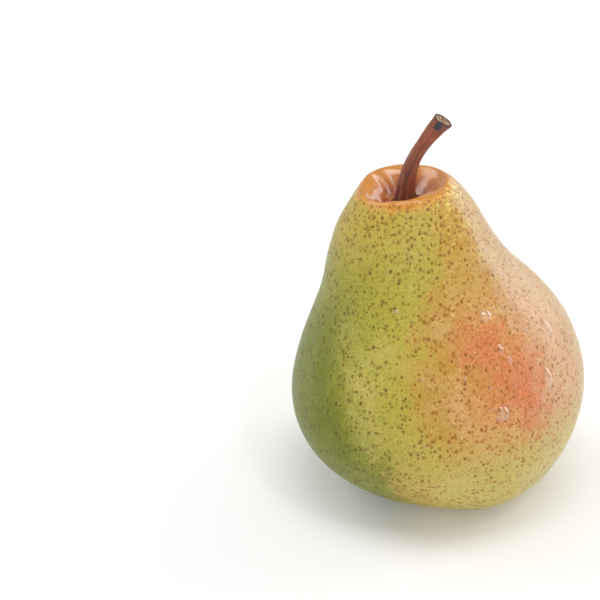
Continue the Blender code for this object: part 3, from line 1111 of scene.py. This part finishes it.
# The larger drops: side of the fruit, height of the middle, width and length.
DROPS = (
    (math.radians(-64), 0.0560, 0.0034, 0.0032),
    (math.radians(-26), 0.0490, 0.0025, 0.0044),
    (math.radians(-40), 0.0405, 0.0028, 0.0048),
    (math.radians(-66), 0.0365, 0.0034, 0.0036),
    (math.radians(-61), 0.0495, 0.0015, 0.0026),
    (math.radians(-58), 0.0470, 0.0013, 0.0024),
    (math.radians(-118), 0.0580, 0.0014, 0.0012),
)
FOOT_DROP_SPOT = (0.0042, -0.0012)  # beside the stem's foot, in the crown's frame
FOOT_DROP_WIDTH = 0.0019
BEAD_SIDE, BEAD_SPREAD = -68, 26  # degrees
BEAD_WIDTHS = (0.00035, 0.0008)
BEAD_HEIGHTS = (0.028, 0.064)
DROP_RIM_SPREAD = 1.22  # a drop is made this much wider, because its rim lies under the skin
DROP_SINK = 0.35  # share of its height that is under the skin


def make_water_material():
    material, tree, shader = new_material("water")
    water = {"Base Color": (1, 1, 1, 1), "Roughness": 0.03, "IOR": 1.333, "Transmission Weight": 1.0}
    fill(tree, shader, water | {"Coat Weight": 1.0, "Coat Roughness": 0.03, "Coat IOR": 2.0})
    # Lamps shine through a drop, so that the skin under it isn't in its shadow.
    output = tree.nodes["Material Output"]
    shadow = add(tree, "LightPath").outputs["Is Shadow Ray"]
    clear = add(tree, "BsdfTransparent").outputs[0]
    made = add(tree, "MixShader", {0: shadow, 1: shader.outputs[0], 2: clear})
    tree.links.new(made.outputs[0], output.inputs["Surface"])
    return material


def add_drop(form, place, normal, width, length, flatness):
    """Adds a drop of water that clings to the skin here: a low dome, a little fuller at its lower end."""
    down = (Vector((0, 0, -1)) - normal * -normal.z).normalized()
    across = down.cross(normal)
    rows = Matrix((across, down, normal)).transposed().to_4x4()
    verts = bmesh.ops.create_icosphere(form, subdivisions=4, radius=1.0)["verts"]
    tall = 1.5 * flatness * width
    width, length = DROP_RIM_SPREAD * width, DROP_RIM_SPREAD * length
    for vert in verts:
        x, y, z = vert.co
        fuller = 1 + 0.22 * y
        dome = tall * (1 - x * x - y * y) * (1 if z > 0 else -0.2)
        vert.co = Vector((x * width / 2 * fuller, y * length / 2, fuller * dome))
    # The rim lies under the skin, so that only the dome shows.
    sink = Matrix.Translation(place - normal * (DROP_SINK * tall + 0.00003))
    bmesh.ops.transform(form, matrix=sink @ rows, verts=verts)


def skin_at(skin, side, height):
    """The point of the skin, and its normal, at this side and height."""
    toward = Vector((math.cos(side), math.sin(side), 0))
    place, normal = skin.ray_cast(toward * 0.2 + Vector((0, 0, height)), -toward)[:2]
    if place is None:
        raise RuntimeError(f"no skin under the drop at height {height}")
    return place, normal


class PEAR_OT_dew(bpy.types.Operator):
    """Put drops and small beads of water on the sunny side of the fruit"""

    bl_idname = "pear.dew"
    bl_label = "Make Dew"

    def execute(self, context):
        dew = context.scene.pear_dew
        graph = context.evaluated_depsgraph_get()
        skin = BVHTree.FromObject(bpy.data.objects["pear_flesh"], graph)
        form = bmesh.new()
        for side, height, width, length in DROPS:
            add_drop(form, *skin_at(skin, side, height), width, length, dew.flatness)
        chance = random.Random(11)
        for _ in range(dew.beads):
            side = math.radians(chance.gauss(BEAD_SIDE, BEAD_SPREAD))
            width = chance.uniform(*BEAD_WIDTHS)
            spot = skin_at(skin, side, chance.uniform(*BEAD_HEIGHTS))
            add_drop(form, *spot, width, width * 1.4, 0.25)
        mouth = crown()
        above = mouth @ Vector((*FOOT_DROP_SPOT, 0.01))
        place, normal = skin.ray_cast(above, -(mouth.to_3x3() @ Vector((0, 0, 1))))[:2]
        add_drop(form, place, normal, FOOT_DROP_WIDTH, FOOT_DROP_WIDTH * 1.3, 0.4)
        piece = linked(form, "water_drops", [make_water_material()])
        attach(piece, "root")
        return {"FINISHED"}


# ------------------------------------------------------------------------------ the stage


class PearStage(bpy.types.PropertyGroup):
    camera_distance: length_setting("Camera Distance", "From the camera to the point it aims at", 0.55, 0.2)
    camera_elevation: angle_setting("Camera Elevation", "How far the camera looks down", 30.0)
    camera_side: length_setting("Aim Left", "How far left of the fruit the camera aims", 0.03276, -1.0)
    camera_up: length_setting("Aim Above", "How far above the fruit's belly it aims", 0.01882, -1.0)
    lens: FloatProperty(
        name="Lens",
        description="Focal length of the camera",
        default=137.6,
        min=10.0,
        unit="CAMERA",
    )
    floor_size: length_setting("Floor Size", "Width of the floor", 20.0, 1.0)
    floor_colour: FloatVectorProperty(
        name="Floor Colour",
        description="Plain pale studio floor",
        subtype="COLOR",
        default=(0.86, 0.86, 0.86),
    )
    daylight: FloatProperty(
        name="Daylight",
        description="Strength of the even white light from all sides",
        default=0.50,
        min=0.0,
    )


BELLY_HEIGHT = 0.0273
LAMP_AIM = 0.28  # height that the lamps aim at, as a share of the fruit's
# The studio's lamps: name, place, size in metres and power in watts.
SOFTBOXES = (
    ("front_softbox", (0.30, -1.00, 0.55), (1.2, 1.0), 2.2),
    ("back_softbox", (0.95, 0.95, 0.40), (1.1, 0.7), 4.5),
    ("right_softbox", (0.85, 0.30, 0.45), (0.20, 0.90), 1.4),
    ("top_softbox", (0.02, -0.16, 0.95), (0.60, 0.38), 2.9),
    ("small_lamp", (0.28, -0.40, 0.85), (0.06, 0.06), 0.5),
    ("left_softbox", (-0.72, 0.32, 0.78), (0.70, 0.50), 2.4),
)
# How much the floor glows near the fruit and far off, so that it meets the white world without a horizon.
NEAR_GLOW, FAR_GLOW = (0.12, 0.12, 0.12), (0.62, 0.62, 0.62)
GLOW_GROWS = (0.35, 2.0)
PAPER_SHADE = (0.8, 0.8, 0.8)


def softbox(name, place, aim, size, power):
    """A rectangular studio light that faces aim."""
    lamp = bpy.data.lights.new(name, "AREA")
    lamp.shape = "RECTANGLE"
    lamp.size, lamp.size_y = size
    lamp.energy = power
    made = bpy.data.objects.new(name, lamp)
    bpy.context.scene.collection.objects.link(made)
    made.location = place
    made.visible_camera = False
    made.rotation_euler = (aim - Vector(place)).to_track_quat("-Z", "Y").to_euler()


class PEAR_OT_stage(bpy.types.Operator):
    """Make the pale floor, the soft studio light and the camera"""

    bl_idname = "pear.stage"
    bl_label = "Make Stage"

    def execute(self, context):
        scene, stage = context.scene, context.scene.pear_stage
        scene.view_settings.view_transform = "Standard"

        form = bmesh.new()
        bmesh.ops.create_grid(form, x_segments=4, y_segments=4, size=stage.floor_size / 2)
        material, tree, shader = new_material("studio_floor")
        place = object_place(tree)
        paper = noise_of(tree, place, 40.0, 3.0).outputs["Fac"]
        shade = blended(tree, ranged(tree, paper, 0.3, 0.7, 0.0, 0.03), stage.floor_colour, PAPER_SHADE)
        far = ranged(tree, vector_of(tree, "LENGTH", place), *GLOW_GROWS)
        glow = {"Emission Color": blended(tree, far, NEAR_GLOW, FAR_GLOW), "Emission Strength": 1.0}
        fill(tree, shader, glow | {"Base Color": shade, "Roughness": 0.7, "Specular IOR Level": 0.2})
        linked(form, "floor", [material])

        world = bpy.data.worlds.new("studio")
        scene.world = world
        world.use_nodes = True
        sky = world.node_tree.nodes["Background"]
        sky.inputs["Color"].default_value = (1, 1, 1, 1)
        seen = add(world.node_tree, "LightPath").outputs["Is Camera Ray"]
        strength = scaled(world.node_tree, seen, 1.0 - stage.daylight, stage.daylight)
        world.node_tree.links.new(strength, sky.inputs["Strength"])

        low, high = CAD_BOX
        aim = Vector((0, 0, LAMP_AIM * (high.z - low.z)))
        for name, place, size, power in SOFTBOXES:
            softbox(name, place, aim, size, power)

        lens = bpy.data.cameras.new("camera")
        lens.lens = stage.lens
        lens.sensor_width = 36.0
        lens.clip_start = 0.01
        lens.clip_end = 100.0
        camera = bpy.data.objects.new("camera", lens)
        scene.collection.objects.link(camera)
        down = stage.camera_elevation
        back = Vector((0, -math.cos(down), math.sin(down)))
        upward = Vector((0, math.sin(down), math.cos(down)))
        aim = Vector((-stage.camera_side, 0, BELLY_HEIGHT)) + upward * stage.camera_up
        camera.location = aim + back * stage.camera_distance
        camera.rotation_euler = (math.pi / 2 - down, 0, 0)
        scene.camera = camera
        return {"FINISHED"}


# ------------------------------------------------------------------------------ panel and run


class PEAR_PT_panel(bpy.types.Panel):
    """Lists the operators of the pear in the order in which they run"""

    bl_idname = "PEAR_PT_panel"
    bl_label = "Fresh Pear"
    bl_space_type = "VIEW_3D"
    bl_region_type = "UI"
    bl_category = "Pear"

    def draw(self, context):
        for name in ("pear.fruit", "pear.stem", "pear.calyx", "pear.dew", "pear.stage"):
            self.layout.operator(name)


GROUPS = {
    "pear_skin": PearSkin,
    "pear_stem": PearStem,
    "pear_calyx": PearCalyx,
    "pear_dew": PearDew,
    "pear_stage": PearStage,
}
OPERATORS = (PEAR_OT_fruit, PEAR_OT_stem, PEAR_OT_calyx, PEAR_OT_dew, PEAR_OT_stage)
CLASSES = (*GROUPS.values(), *OPERATORS, PEAR_PT_panel)


def register():
    for made in CLASSES:
        bpy.utils.register_class(made)
    for name, group in GROUPS.items():
        setattr(bpy.types.Scene, name, bpy.props.PointerProperty(type=group))


def unregister():
    for name in GROUPS:
        delattr(bpy.types.Scene, name)
    for made in reversed(CLASSES):
        bpy.utils.unregister_class(made)


def main():
    register()
    bpy.ops.pear.fruit()
    bpy.ops.pear.stem()
    bpy.ops.pear.calyx()
    bpy.ops.pear.dew()
    bpy.ops.pear.stage()


if __name__ == "__main__":
    main()
